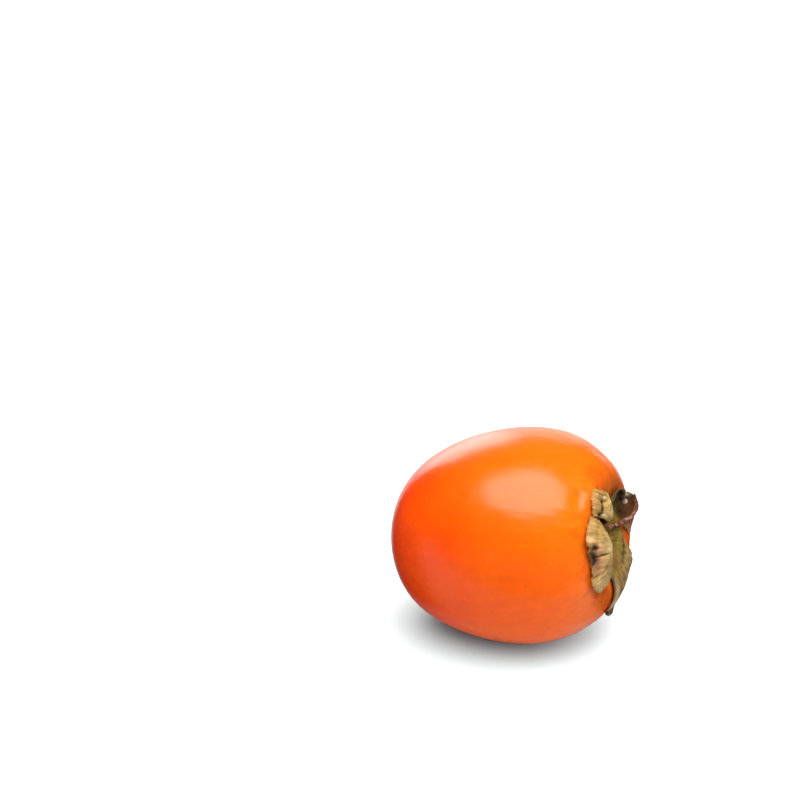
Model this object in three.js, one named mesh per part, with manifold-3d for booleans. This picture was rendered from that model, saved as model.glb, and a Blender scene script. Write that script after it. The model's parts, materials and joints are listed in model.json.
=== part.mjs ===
// A ripe persimmon lying on its side, with its dried four-lobed calyx at one end.
// Millimetres, +Z up. The origin is the middle of the small flat spot that the fruit rests on.
// +X runs along the fruit towards the calyx, which is held a little higher than the blossom end.

import * as THREE from "three";
import { mergeVertices } from "three/addons/utils/BufferGeometryUtils.js";
import Module from "manifold-3d";

// ---- fruit, in its own frame: s along the core towards the calyx, y and z across it ----
const CORE_TILT = THREE.MathUtils.degToRad(7);   // calyx end up
const REST_POINT = [1.1, 0, -34.35];             // middle of the flat spot, once tilted

// Half outline of the fruit as [s, radius], control points of a smooth curve:
// blossom end, cheeks, widest girth, shoulder ridge, then down into the hollow under the calyx.
const HALF_OUTLINE = [
  [-43, 0], [-41, 11.5], [-33.5, 25.4], [-18.3, 34], [0.6, 38.3], [17.6, 37.3],
  [28.6, 30.8], [35.3, 23.4], [35.8, 17.3], [31.4, 9.2], [29.3, 0],
];
const SQUARENESS = 0.02;       // four soft corners, as a share of the radius
const FLATNESS = 0.045;        // wider across than it is high
const GIRTH = 37;              // radius where the corners are strongest
const BEND_SPAN = 40;          // at this distance from its middle the core sits
const SIDE_BEND = 1.2;         //   this much to +Y
const DROP_BEND = -1.3;        //   and this much lower
const RINGS = 46;
const SPOKES = 60;

// ---- calyx, in the fruit's frame; azimuth 0 is -Y, azimuth 90 is up ----
const LOBE_THICKNESS = 1.0;
const LOBE_CLEARANCE = 0.45;   // skin to the underside of a lobe
const LOBE_STEPS = 14;
// Each lobe is stretched over three ribs: [azimuths at the base, half way and at the tip], then five
// [radius, s] points. tip is the rib the lobe ends on, from -1 to 1; rounding shortens the others.
const LOBES = {
  sepal_near_lower: {
    color: 0xa8905a, tip: -0.1, rounding: 0.06,
    ribs: [
      [[-28, -29, -28], [[9.2, 34.2], [12.5, 36], [16, 37.6], [19.2, 37.6], [22.6, 36.8]]],
      [[3, 3, 2], [[9.2, 35.2], [12.5, 38.1], [16, 39.5], [21.4, 38.5], [26, 35.3]]],
      [[28, 33, 36], [[9.2, 33.4], [12, 34.8], [16, 36.4], [21.6, 36], [26.6, 33.8]]],
    ],
  },
  sepal_near_upper: {
    color: 0x9c8a4e, tip: 0, rounding: 0.04,
    ribs: [
      [[45, 46, 43], [[9.2, 33.8], [12.5, 36], [15.5, 37.4], [20.3, 37.2], [24.4, 35]]],
      [[58, 60, 51], [[9.2, 34.2], [12.5, 37], [16, 38.7], [21.2, 37.6], [25.7, 34.2]]],
      [[77, 82, 62], [[9.2, 33.3], [12.5, 34.5], [16.6, 36], [20.6, 35.4], [25.4, 33.8]]],
    ],
  },
  sepal_far_upper: {
    color: 0x7a5f3a, tip: -0.3, rounding: 0.05,
    ribs: [
      [[174, 180, 161], [[9.2, 33.3], [13, 34.8], [16.2, 36.2], [18.7, 37.4], [20.4, 38.4]]],
      [[142, 143, 141], [[9.2, 32.8], [12, 33.6], [15, 35.3], [17.3, 36.9], [18.8, 37.9]]],
      [[102, 103, 110], [[9.2, 33], [11.5, 34.2], [13.8, 35.6], [15.8, 36.8], [17, 37.3]]],
    ],
  },
  sepal_far_lower: {
    color: 0x95804b, tip: 0.5, rounding: 0.12,
    ribs: [
      [[-163, -160, -140], [[9.2, 33.4], [12.5, 34.8], [15.5, 36], [18.6, 36.6], [21.5, 36]]],
      [[-118, -113, -107], [[9.2, 33.5], [12.8, 35.3], [17.2, 36.8], [22, 35.9], [26, 33]]],
      [[-66, -68, -64], [[9.2, 33.4], [12.5, 35.1], [17, 36.3], [21.2, 35.6], [24.8, 33]]],
    ],
  },
};

const HOLLOW_START = 0.8;      // share of the half outline before the hollow
const DISC = { radius: 8.4, top: 33.2, rim: 32.6, seat: 31.7, gap: 0.35, sides: 32 };
const STUB = { radius: 2.2, flare: 2.9, length: 1.6, gap: 0.3, sides: 20 };
const STYLE = { radius: 1.5, length: 2.0, gap: 0.3, sides: 12 };

const MATERIALS = {
  skin: new THREE.MeshStandardMaterial({ color: 0xff6a0a, roughness: 0.28, metalness: 0 }),
  disc: new THREE.MeshStandardMaterial({ color: 0xb9793c, roughness: 0.8, metalness: 0 }),
  stub: new THREE.MeshStandardMaterial({ color: 0x8d8272, roughness: 0.9, metalness: 0 }),
  style: new THREE.MeshStandardMaterial({ color: 0x2d1c12, roughness: 0.9, metalness: 0 }),
};

// ---- curves ----

// Uniform cubic B-spline through the half outline, mirrored at the core so both ends are smooth.
function outlinePoint(u) {
  const last = HALF_OUTLINE.length - 1;
  const at = (i) => {
    if (i < 0) return [HALF_OUTLINE[1][0], -HALF_OUTLINE[1][1]];
    if (i > last) return [HALF_OUTLINE[last - 1][0], -HALF_OUTLINE[last - 1][1]];
    return HALF_OUTLINE[i];
  };
  const i = Math.min(Math.floor(u * last), last - 1);
  const f = u * last - i;
  const second = 3 * f ** 3 - 6 * f ** 2 + 4;
  const third = -3 * f ** 3 + 3 * f ** 2 + 3 * f + 1;
  const weights = [(1 - f) ** 3, second, third, f ** 3];
  const sum = (axis) => weights.reduce((total, w, k) => total + w * at(i - 1 + k)[axis], 0) / 6;
  return [sum(0), sum(1)];
}

// Catmull-Rom value between equally spaced numbers, with reflected ends.
function between(values, x) {
  const last = values.length - 1;
  const at = (i) => {
    if (i < 0) return 2 * values[0] - values[1];
    if (i > last) return 2 * values[last] - values[last - 1];
    return values[i];
  };
  const u = THREE.MathUtils.clamp(x, 0, 1) * last;
  const i = Math.min(Math.floor(u), last - 1);
  const f = u - i;
  const [a, b, c, d] = [at(i - 1), at(i), at(i + 1), at(i + 2)];
  const bow = (2 * a - 5 * b + 4 * c - d) * f ** 2;
  const turn = (3 * b - a - 3 * c + d) * f ** 3;
  return 0.5 * (2 * b + (c - a) * f + bow + turn);
}

// ---- fruit skin ----

function girthFactor(radius, angle) {
  const corners = -Math.cos(4 * angle) * SQUARENESS * (Math.min(radius, GIRTH) / GIRTH) ** 2;
  return 1 + corners + FLATNESS * Math.cos(2 * angle);
}

// A point at s along the bent core, out by a radius at an angle: 0 is +Y, 90 degrees is up.
function aroundCore(s, radius, angle) {
  const bend = (s / BEND_SPAN) ** 2;
  const y = radius * Math.cos(angle) + SIDE_BEND * bend;
  const z = radius * Math.sin(angle) + DROP_BEND * bend;
  return new THREE.Vector3(s, y, z);
}

function skinPoint(s, radius, angle) {
  return aroundCore(s, radius * girthFactor(radius, angle), angle);
}

// The half outline as [direction from the core's middle, distance], used to keep lobes off the skin.
const SKIN_STEPS = 400;
const SKIN_TABLE = Array.from({ length: SKIN_STEPS + 1 }, (_, k) => outlinePoint(1 - k / SKIN_STEPS))
  .map(([s, r]) => [Math.atan2(r, s), Math.hypot(s, r)]);

function skinDistance(point) {
  const bend = (point.x / BEND_SPAN) ** 2;
  const y = point.y - SIDE_BEND * bend;
  const z = point.z - DROP_BEND * bend;
  const across = Math.hypot(y, z);
  const radius = across / girthFactor(across, Math.atan2(z, y));
  const direction = Math.atan2(radius, point.x);
  const k = SKIN_TABLE.findIndex(([angle]) => angle >= direction);
  if (k <= 0) return { own: Math.hypot(point.x, radius), skin: SKIN_TABLE[0][1] };
  const [a0, d0] = SKIN_TABLE[k - 1];
  const [a1, d1] = SKIN_TABLE[k];
  const skin = d0 + ((d1 - d0) * (direction - a0)) / Math.max(a1 - a0, 1e-9);
  return { own: Math.hypot(point.x, radius), skin };
}

// Move a point straight out from the fruit's middle until it clears the skin by the gap.
function clearOfSkin(point, gap) {
  const softness = 0.35;
  const { own, skin } = skinDistance(point);
  const spare = (own - skin - gap) / softness;
  const kept = spare > 20 ? spare : Math.log1p(Math.exp(spare));
  return point.multiplyScalar((skin + gap + softness * kept) / own);
}

// ---- geometry helpers ----

function weld(geometry) {
  geometry.deleteAttribute("normal");
  geometry.deleteAttribute("uv");
  const welded = mergeVertices(geometry, 1e-4);
  const index = Array.from(welded.index.array);
  const solid = [];
  for (let k = 0; k < index.length; k += 3) {
    const [a, b, c] = index.slice(k, k + 3);
    if (a !== b && b !== c && c !== a) solid.push(a, b, c);
  }
  welded.setIndex(solid);
  return facingOut(welded);
}

// Turn every face over if the solid's signed volume is negative.
function facingOut(geometry) {
  const position = geometry.getAttribute("position");
  const index = Array.from(geometry.index.array);
  const corner = (k) => new THREE.Vector3().fromBufferAttribute(position, index[k]);
  let volume = 0;
  for (let k = 0; k < index.length; k += 3) volume += corner(k).dot(corner(k + 1).cross(corner(k + 2)));
  if (volume < 0) {
    for (let k = 0; k < index.length; k += 3) [index[k], index[k + 1]] = [index[k + 1], index[k]];
    geometry.setIndex(index);
  }
  return geometry;
}

function reshape(geometry, move) {
  const position = geometry.getAttribute("position");
  for (let k = 0; k < position.count; k += 1) {
    const point = move(new THREE.Vector3().fromBufferAttribute(position, k));
    position.setXYZ(k, point.x, point.y, point.z);
  }
  return weld(geometry);
}

// A lathe stands on +Y: its height becomes s, and its own angle is kept about the core.
function turned(profile, sides, shape) {
  const lathe = new THREE.LatheGeometry(profile.map(([s, r]) => new THREE.Vector2(r, s)), sides);
  return reshape(lathe, (p) => shape(p.y, Math.hypot(p.x, p.z), Math.atan2(p.z, p.x)));
}

function named(name, geometry, material) {
  const mesh = new THREE.Mesh(geometry, material);
  mesh.name = name;
  return mesh;
}

// ---- cut the resting flat with manifold-3d ----

const wasm = await Module();
wasm.setup();

function toManifold(geometry) {
  return new wasm.Manifold(new wasm.Mesh({
    numProp: 3,
    vertProperties: new Float32Array(geometry.getAttribute("position").array),
    triVerts: new Uint32Array(geometry.index.array),
  }));
}

function fromManifold(solid) {
  const mesh = solid.getMesh();
  const geometry = new THREE.BufferGeometry();
  geometry.setAttribute("position", new THREE.BufferAttribute(mesh.vertProperties, 3));
  geometry.setIndex(Array.from(mesh.triVerts));
  return geometry;
}

// ---- the pieces ----

// The fruit's frame seen from the row's frame: tilted about Y, then set down on the flat spot.
const fruitToRow = new THREE.Matrix4()
  .makeTranslation(-REST_POINT[0], -REST_POINT[1], -REST_POINT[2])
  .multiply(new THREE.Matrix4().makeRotationY(-CORE_TILT));

function fruitBody() {
  const profile = Array.from({ length: RINGS + 1 }, (_, k) => outlinePoint(k / RINGS));
  profile[0][1] = 0;
  profile[RINGS][1] = 0;
  const skin = turned(profile, SPOKES, skinPoint).applyMatrix4(fruitToRow);
  const ground = new THREE.BoxGeometry(200, 200, 100).translate(0, 0, -50);
  const rested = toManifold(skin).subtract(toManifold(weld(ground)));
  return named("fruit_body", fromManifold(rested), MATERIALS.skin);
}

// A point of a lobe's middle surface: along is 0 at the disc and 1 at the margin, across is -1 to 1.
function lobeSheet(lobe, along, across) {
  const offset = Math.abs((across - lobe.tip) / (1 + Math.abs(lobe.tip)));
  const reach = along * (1 - lobe.rounding * offset ** 2.2);
  const acrossRibs = (value) => between(lobe.ribs.map(value), (across + 1) / 2);
  const azimuth = acrossRibs(([azimuths]) => between(azimuths, reach));
  const radius = acrossRibs(([, points]) => between(points.map((p) => p[0]), reach));
  const s = acrossRibs(([, points]) => between(points.map((p) => p[1]), reach));
  const point = aroundCore(s, radius, Math.PI - THREE.MathUtils.degToRad(azimuth));
  return clearOfSkin(point, LOBE_CLEARANCE + LOBE_THICKNESS / 2);
}

// The lobe's facing, from how its surface runs along and across over a small step.
function lobeNormal(lobe, along, across) {
  const step = 0.02;
  const run = (u0, v0, u1, v1) => lobeSheet(lobe, u1, v1).sub(lobeSheet(lobe, u0, v0));
  const outward = run(Math.max(along - step, 0), across, Math.min(along + step, 1), across);
  const sideways = run(along, Math.max(across - step, -1), along, Math.min(across + step, 1));
  return outward.cross(sideways).normalize();
}

// A thin box bent over the lobe's ribs: its long sides become the lobe's two faces.
function sepal(name, lobe) {
  const slab = new THREE.BoxGeometry(1, 2, 1, LOBE_STEPS, LOBE_STEPS, 1);
  const geometry = reshape(slab, (p) => {
    const along = p.x + 0.5;
    const face = lobeNormal(lobe, along, p.y).multiplyScalar(p.z * LOBE_THICKNESS);
    return lobeSheet(lobe, along, p.y).add(face);
  });
  const material = new THREE.MeshStandardMaterial({ color: lobe.color, roughness: 0.85, metalness: 0 });
  return named(name, geometry, material);
}

// How far along the core the floor of the hollow is, at a radius.
function hollowFloor(radius) {
  const steps = 200;
  for (let k = 0; k <= steps; k += 1) {
    const [s, r] = outlinePoint(HOLLOW_START + (1 - HOLLOW_START) * (k / steps));
    if (r <= radius) return s;
  }
  return outlinePoint(1)[0];
}

// The thick middle of the calyx follows the floor of the hollow, with a low dished crown.
function calyxDisc() {
  const underside = [0, 2, 4, 6, DISC.radius - 1].map((r) => [hollowFloor(r) + DISC.gap, r]);
  const profile = [
    ...underside, [DISC.rim - 0.5, DISC.radius], [DISC.rim, DISC.radius - 0.1],
    [DISC.top, DISC.radius - 1.6], [DISC.top + 0.2, 5], [DISC.seat, 3.6], [DISC.seat, 0],
  ];
  return named("calyx_disc", turned(profile, DISC.sides, skinPoint), MATERIALS.disc);
}

function stemStub() {
  const base = DISC.seat + STUB.gap;
  const end = base + STUB.length;
  const profile = [
    [base, 0], [base, STUB.flare], [base + 0.5, STUB.radius + 0.1], [end - 0.4, STUB.radius],
    [end, STUB.radius - 0.4], [end - 0.2, 0],
  ];
  return named("stem_stub", turned(profile, STUB.sides, aroundCore), MATERIALS.stub);
}

function styleTip() {
  const base = outlinePoint(0)[0] - STYLE.gap;
  const profile = [
    [base, 0], [base, STYLE.radius], [base - STYLE.length * 0.5, STYLE.radius * 0.55],
    [base - STYLE.length, STYLE.radius * 0.3], [base - STYLE.length, 0],
  ];
  return named("style_tip", turned(profile, STYLE.sides, aroundCore), MATERIALS.style);
}

const onFruit = new THREE.Group();
onFruit.applyMatrix4(fruitToRow);
onFruit.add(styleTip(), calyxDisc(), stemStub());
for (const [name, lobe] of Object.entries(LOBES)) onFruit.add(sepal(name, lobe));

const group = new THREE.Group();
group.add(fruitBody(), onFruit);

export default group;
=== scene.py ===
# A ripe persimmon lying on its side: waxy orange skin and a dried, curled calyx with a broken stalk.
# Lengths in the dictionaries are in millimetres unless a note says otherwise.
import json
import math

import bpy
import numpy as np
from mathutils import Euler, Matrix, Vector

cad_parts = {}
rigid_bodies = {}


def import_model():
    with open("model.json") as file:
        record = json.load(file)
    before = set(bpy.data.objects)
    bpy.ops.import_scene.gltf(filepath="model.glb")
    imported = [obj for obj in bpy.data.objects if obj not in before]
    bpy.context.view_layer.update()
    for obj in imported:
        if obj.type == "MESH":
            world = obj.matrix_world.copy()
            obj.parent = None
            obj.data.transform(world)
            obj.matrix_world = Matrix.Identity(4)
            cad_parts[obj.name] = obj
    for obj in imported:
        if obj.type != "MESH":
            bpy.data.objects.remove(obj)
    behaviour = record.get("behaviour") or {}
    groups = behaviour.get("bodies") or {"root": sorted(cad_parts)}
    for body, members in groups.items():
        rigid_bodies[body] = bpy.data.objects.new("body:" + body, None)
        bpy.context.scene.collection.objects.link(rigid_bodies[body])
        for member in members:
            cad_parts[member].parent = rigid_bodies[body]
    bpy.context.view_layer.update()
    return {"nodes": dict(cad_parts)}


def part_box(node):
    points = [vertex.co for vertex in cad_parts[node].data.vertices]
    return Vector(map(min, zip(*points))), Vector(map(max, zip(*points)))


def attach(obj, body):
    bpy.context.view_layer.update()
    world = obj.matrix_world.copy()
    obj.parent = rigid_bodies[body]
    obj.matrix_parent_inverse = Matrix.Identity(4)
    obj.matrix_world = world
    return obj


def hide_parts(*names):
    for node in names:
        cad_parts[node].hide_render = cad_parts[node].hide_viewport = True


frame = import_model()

mm = 0.001
print("frame loaded:", len(frame["nodes"]), "nodes")


# Uneven texture from 0 to 1: a repeatable number at every whole-number lattice point,
# fract(sin(12.99x + 78.23y + 37.72z + seed) * 43758.5), blended across each cell by 3f^2 - 2f^3.
def latticeNoise(points, cell, seed):
    p = np.asarray(points, float) / cell
    low = np.floor(p)
    f = p - low
    f = f * f * (3 - 2 * f)
    total = np.zeros(p.shape[:-1])
    for corner in range(8):
        step = np.array([corner & 1, corner >> 1 & 1, corner >> 2 & 1])
        wave = np.sin((low + step) @ np.array([12.9898, 78.233, 37.719]) + seed * 1.618) * 43758.5453
        share = np.prod(np.where(step == 1, f, 1 - f), axis=-1)
        total += share * (wave - np.floor(wave))
    return total


# Noise around 0: octaves of lattice noise, each half as large and half as strong.
def noise(points, cell, seed, octaves=2):
    total = 0
    for k in range(octaves):
        total = total + (latticeNoise(points, cell / 2**k, seed + 11 * k) * 2 - 1) / 2**k
    return total / (2 - 0.5 ** (octaves - 1))


# 0 below low, 1 above high, 3t^2 - 2t^3 between.
def ease(x, low, high):
    t = np.clip((x - low) / (high - low), 0, 1)
    return t * t * (3 - 2 * t)


# Catmull-Rom through equally spaced knots over x = 0..1, with the ends mirrored:
# (2b + (c-a)f + (2a-5b+4c-d)f^2 + (3b-a-3c+d)f^3) / 2. With ownKnots each x has knots of its own.
def catmull(knots, x, ownKnots=False):
    knots = np.asarray(knots, float)
    knots = np.concatenate([2 * knots[:1] - knots[1:2], knots, 2 * knots[-1:] - knots[-2:-1]])
    u = np.clip(x, 0, 1) * (len(knots) - 3)
    i = np.minimum(u.astype(int), len(knots) - 4)
    f = u - i
    if ownKnots:
        grid = tuple(np.indices(i.shape))
        a, b, c, d = (knots[(i + k,) + grid] for k in range(4))
    else:
        a, b, c, d = (knots[i + k] for k in range(4))
    f = f.reshape(f.shape + (1,) * (a.ndim - f.ndim))
    return (2 * b + (c - a) * f + (2 * a - 5 * b + 4 * c - d) * f**2 + (3 * b - a - 3 * c + d) * f**3) / 2


# Unit normals of a grid of points: cross product of its two directions, turned to the calyx side
# when towards is "calyx" and away from the fruit's middle when it is "out".
def gridNormals(points, towards):
    n = np.cross(np.gradient(points, axis=0), np.gradient(points, axis=1))
    n = n / (np.linalg.norm(n, axis=-1, keepdims=True) + 1e-12)
    facing = n[..., 0] if towards == "calyx" else np.einsum("...i,...i", n, points)
    return -n if facing.mean() < 0 else n


# Colour typed as six hex digits, as linear red, green, blue.
def tone(code):
    c = np.array([int(code[k:k + 2], 16) for k in (0, 2, 4)]) / 255
    return np.where(c <= 0.04045, c / 12.92, ((c + 0.055) / 1.055) ** 2.4)


# One colour turning into another as share goes from 0 to 1.
def blendTone(base, other, share):
    return base + (other - base) * np.clip(share, 0, 1)[..., None]


# The fruit's own frame: s runs along the core to the calyx, y and z lie across it.
fruit = {
    "tilt": 7.0,                # degrees, calyx end up
    "halfOutline": [            # [s, radius] from the blossom end round to the floor of the hollow
        [-43, 0], [-41, 11.5], [-33.5, 25.4], [-18.3, 34], [0.6, 38.3], [17.6, 37.3],
        [28.6, 30.8], [35.3, 23.4], [35.8, 17.3], [31.4, 9.2], [29.3, 0],
    ],
    "squareness": 0.02,         # four soft corners, share of the radius
    "flatness": 0.045,          # wider across than high
    "girth": 37.0,              # radius where the corners are strongest
    "bendSpan": 40.0,           # this far from its middle the core sits
    "sideBend": 1.2,            #   so far to +Y
    "dropBend": -1.3,           #   and so much lower
    "rings": 232,
    "spokes": 384,
    "lump": 0.13,               # broad unevenness of the skin
    "lumpSize": 15.0,
    "ripple": 0.022,            # finer unevenness
    "rippleSize": 4.5,
    "crease": 0.20,             # fine folds that run up to the calyx
    "creaseCount": 52,
    "creaseFrom": (0.42, 0.50),     # shares of the way from the blossom end to the floor of the hollow:
    "creaseMore": (0.56, 0.70),     #   the folds begin, grow and fade between these
    "creaseEnd": (0.86, 0.95),
    "pinch": 0.35,              # shallow dents where the lobes pull on the shoulder
    "pinchFrom": (0.56, 0.66),
    "pinchEnd": (0.80, 0.90),
    "puckers": [                # round the calyx: [azimuth, s, half width in degrees, half length, height]
        [54, 33.3, 17, 1.4, 0.50], [47, 31.0, 11, 1.8, -0.38], [38, 30.0, 3, 3.5, 0.22],
        [90, 34.0, 15, 2.2, -0.60], [101, 31.5, 4, 3.5, 0.35], [75, 29.5, 5, 3.0, 0.20],
        [27, 31.0, 4, 3.0, 0.20], [115, 30.5, 5, 3.5, -0.25], [60, 31.8, 20, 2.8, 0.34],
        [62, 33.8, 13, 0.6, 0.22], [150, 31.0, 6, 3.5, -0.35], [-60, 31.0, 6, 3.5, -0.30],
        [-20, 31.5, 5, 3.0, 0.25], [205, 31.0, 8, 3.0, -0.35],
    ],
    "flatEdge": 0.12,           # rounding where the skin meets the surface it lies on
}


# Uniform cubic B-spline through the half outline, weights ((1-f)^3, 3f^3-6f^2+4, ..., f^3) / 6,
# mirrored across the core at both ends so that the ends are smooth.
def outlineAt(t):
    p = np.array(fruit["halfOutline"], float)
    flip = np.array([1, -1])
    p = np.vstack([p[1] * flip, p, p[-2] * flip])
    u = t * (len(p) - 3)
    i = np.minimum(u.astype(int), len(p) - 4)
    f = (u - i)[..., None]
    weights = [(1 - f) ** 3, 3 * f**3 - 6 * f**2 + 4, -3 * f**3 + 3 * f**2 + 3 * f + 1, f**3]
    return sum(w * p[i + k] for k, w in enumerate(weights)) / 6


# Point at s along the bent core and out by a radius; angle 0 is +Y and 90 degrees is up.
def aroundCore(s, radius, angle):
    bend = (s / fruit["bendSpan"]) ** 2
    y = radius * np.cos(angle) + fruit["sideBend"] * bend
    z = radius * np.sin(angle) + fruit["dropBend"] * bend
    return np.stack([s + 0 * y, y, z], axis=-1)


# Share of the round radius: 1 - squareness * cos(4a) * (r / girth)^2 + flatness * cos(2a).
def girthShare(radius, angle):
    reach = np.minimum(radius / fruit["girth"], 1)
    corners = fruit["squareness"] * np.cos(4 * angle) * reach**2
    return 1 - corners + fruit["flatness"] * np.cos(2 * angle)


# Distance of a point from the fruit's middle, and that of the skin in the same direction.
def skinDistance(points):
    s, y, z = np.moveaxis(points, -1, 0)
    bend = (s / fruit["bendSpan"]) ** 2
    y = y - fruit["sideBend"] * bend
    z = z - fruit["dropBend"] * bend
    across = np.hypot(y, z)
    radius = across / girthShare(across, np.arctan2(z, y))
    outline = outlineAt(np.linspace(1, 0, 600))
    direction = np.arctan2(outline[:, 1], outline[:, 0])
    distance = np.hypot(outline[:, 0], outline[:, 1])
    return np.hypot(s, radius), np.interp(np.arctan2(radius, s), direction, distance)


# Height above a floor at 0, rounded off where it meets the floor: e ln(1 + exp(height / e)).
def softFloor(height, e):
    z = height / e
    return e * np.where(z > 20, z, np.log1p(np.exp(np.minimum(z, 20))))


# Push points straight out from the fruit's middle until they are gap above the skin:
# new distance = skin + gap + the soft floor of (own - skin - gap).
def clearOfSkin(points, gap, k=0.3):
    own, skin = skinDistance(points)
    return points * ((skin + gap + softFloor(own - skin - gap, k)) / own)[..., None]


# Point from an azimuth (0 is the near side, -Y, and 90 is up), a radius and s.
def onFruit(azimuth, radius, s):
    return aroundCore(s, radius, math.pi - np.radians(azimuth))


# Plain skin without its fine folds, on a grid of rings and spokes.
def plainSkin(rings, spokes):
    outline = outlineAt(np.linspace(0, 1, rings))
    angle = np.linspace(0, 2 * math.pi, spokes, endpoint=False)[None, :]
    radius = outline[:, 1:] * girthShare(outline[:, 1:], angle)
    return aroundCore(outline[:, :1], radius, angle)


tilt = math.radians(fruit["tilt"])
tiltRows = np.array([
    [math.cos(tilt), 0, -math.sin(tilt)],
    [0, 1, 0],
    [math.sin(tilt), 0, math.cos(tilt)],
])

# The tilted skin touches the top, the calyx side and the back of the solid's box, so that
# difference is how far the fruit's middle lies from the row's origin.
bodyHigh = np.array(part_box("fruit_body")[1]) / mm
middle = bodyHigh - (plainSkin(300, 360) @ tiltRows.T).reshape(-1, 3).max(axis=0)
print("fruit's middle above the flat spot:", np.round(middle, 2))


# From the fruit's frame in millimetres to the row's frame in metres.
def toRow(points):
    return (points @ tiltRows.T + middle) * mm


# Faces of a grid of rows by columns points, closed across the columns when around is set.
def gridFaces(rows, columns, around=False):
    index = np.arange(rows * columns).reshape(rows, columns)
    if around:
        index = np.hstack([index, index[:, :1]])
    quads = np.stack([index[:-1, :-1], index[:-1, 1:], index[1:, 1:], index[1:, :-1]], axis=-1)
    return quads.reshape(-1, 4)


# Faces of a round body of rings; the first and the last ring are one pole point each, kept last.
def roundFaces(rows, columns):
    quads = gridFaces(rows - 2, columns, around=True)
    first = np.arange(columns)
    last = (rows - 3) * columns + first
    poles = (rows - 2) * columns + np.zeros((2, columns), int) + np.array([[0], [1]])
    start = np.stack([poles[0], np.roll(first, -1), first], axis=-1)
    end = np.stack([poles[1], last, np.roll(last, -1)], axis=-1)
    return quads, np.vstack([start, end])


# Values on the rings of a round body, in the order of its points: inner rings, then both poles.
def ringValues(values):
    inner = values[1:-1].reshape(-1, values.shape[-1])
    return np.vstack([inner, values[0].mean(axis=0), values[-1].mean(axis=0)])


# Steps 0..1 from ring to ring as a column, and the angles round a ring as a row.
def roundGrid(rows, columns):
    return np.linspace(0, 1, rows)[:, None], np.linspace(0, 2 * math.pi, columns, endpoint=False)[None, :]


# Signed volume of a closed mesh: sum of a . (b x c) / 6 over its triangles.
def signedVolume(points, triangles):
    a, b, c = (points[triangles[:, k]] for k in range(3))
    return np.einsum("ij,ij->", a, np.cross(b, c)) / 6


# Mesh object from points in the fruit's frame and faces, turned outwards; uv and colour go with the points.
# It takes the place of the CAD nodes that are named.
def meshObject(name, points, quads, triangles, material, nodes=(), uv=None, colour=None):
    volume = signedVolume(points, quads[:, :3]) + signedVolume(points, quads[:, [0, 2, 3]])
    volume = volume + signedVolume(points, triangles)
    if volume < 0:
        quads, triangles = quads[:, ::-1], triangles[:, ::-1]
    mesh = bpy.data.meshes.new(name)
    mesh.from_pydata(toRow(points).tolist(), [], quads.tolist() + triangles.tolist())
    mesh.polygons.foreach_set("use_smooth", np.ones(len(mesh.polygons), bool))
    corner = np.zeros(len(mesh.loops), int)
    mesh.loops.foreach_get("vertex_index", corner)
    if uv is not None:
        layer = mesh.uv_layers.new(name="leaf")
        layer.data.foreach_set("uv", uv[corner].ravel())
    if colour is not None:
        attribute = mesh.color_attributes.new(name="tissue", type="FLOAT_COLOR", domain="POINT")
        rgba = np.hstack([np.clip(colour, 0, 1), np.ones((len(colour), 1))])
        attribute.data.foreach_set("color", rgba.ravel())
    mesh.validate()
    mesh.update()
    mesh.materials.append(material)
    piece = bpy.data.objects.new(name, mesh)
    bpy.context.scene.collection.objects.link(piece)
    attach(piece, "root")
    if nodes:
        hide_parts(*nodes)
    print(name, "has", len(points), "points")


# Mesh object of a round body, from its rings of points and the uv and colour on them.
def roundObject(name, rings, material, nodes=(), uv=None, colour=None):
    quads, triangles = roundFaces(*rings.shape[:2])
    if uv is not None:
        uv, colour = ringValues(uv), ringValues(colour)
    meshObject(name, ringValues(rings), quads, triangles, material, nodes, uv=uv, colour=colour)


noTriangles = np.zeros((0, 3), int)


# Fill a shader node's inputs, by name or number, each with a value of its own or a link from another node.
def setInputs(tree, node, inputs):
    for key, value in inputs.items():
        if isinstance(value, bpy.types.NodeSocket):
            tree.links.new(value, node.inputs[key])
        else:
            node.inputs[key].default_value = value


# Shader node of a kind, with its inputs filled in and its settings made.
def addNode(tree, kind, inputs=None, **settings):
    node = tree.nodes.new(kind)
    for key, value in settings.items():
        setattr(node, key, value)
    setInputs(tree, node, inputs or {})
    return node


def mixColour(tree, kind, factor, a, b):
    inputs = {0: factor, 6: a, 7: b}
    return addNode(tree, "ShaderNodeMix", inputs, data_type="RGBA", blend_type=kind).outputs[2]


# A flat tone laid over a colour, as strongly as share says.
def layOver(tree, colour, share, code):
    return mixColour(tree, "MIX", share, colour, (*tone(code), 1))


def mapRange(tree, value, low, high, toLow, toHigh):
    return addNode(tree, "ShaderNodeMapRange", {0: value, 1: low, 2: high, 3: toLow, 4: toHigh}).outputs[0]


def calculate(tree, kind, a, b=0.0):
    return addNode(tree, "ShaderNodeMath", {0: a, 1: b}, operation=kind).outputs[0]


def noiseNode(tree, vector, scale, detail=3.0, roughness=0.5, distortion=0.0):
    inputs = {
        "Vector": vector, "Scale": scale, "Detail": detail,
        "Roughness": roughness, "Distortion": distortion,
    }
    return addNode(tree, "ShaderNodeTexNoise", inputs).outputs["Fac"]


def stretch(tree, vector, scale):
    return addNode(tree, "ShaderNodeMapping", {"Vector": vector, "Scale": scale}).outputs[0]


def bumpNode(tree, height, strength, depth):
    inputs = {"Strength": strength, "Distance": depth, "Height": height}
    return addNode(tree, "ShaderNodeBump", inputs).outputs[0]


def colourRamp(tree, factor, stops):
    node = addNode(tree, "ShaderNodeValToRGB", {0: factor})
    ramp = node.color_ramp
    while len(ramp.elements) < len(stops):
        ramp.elements.new(0.5)
    for element, (position, code) in zip(ramp.elements, stops):
        element.position = position
        element.color = (*tone(code), 1)
    return node.outputs[0]


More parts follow.
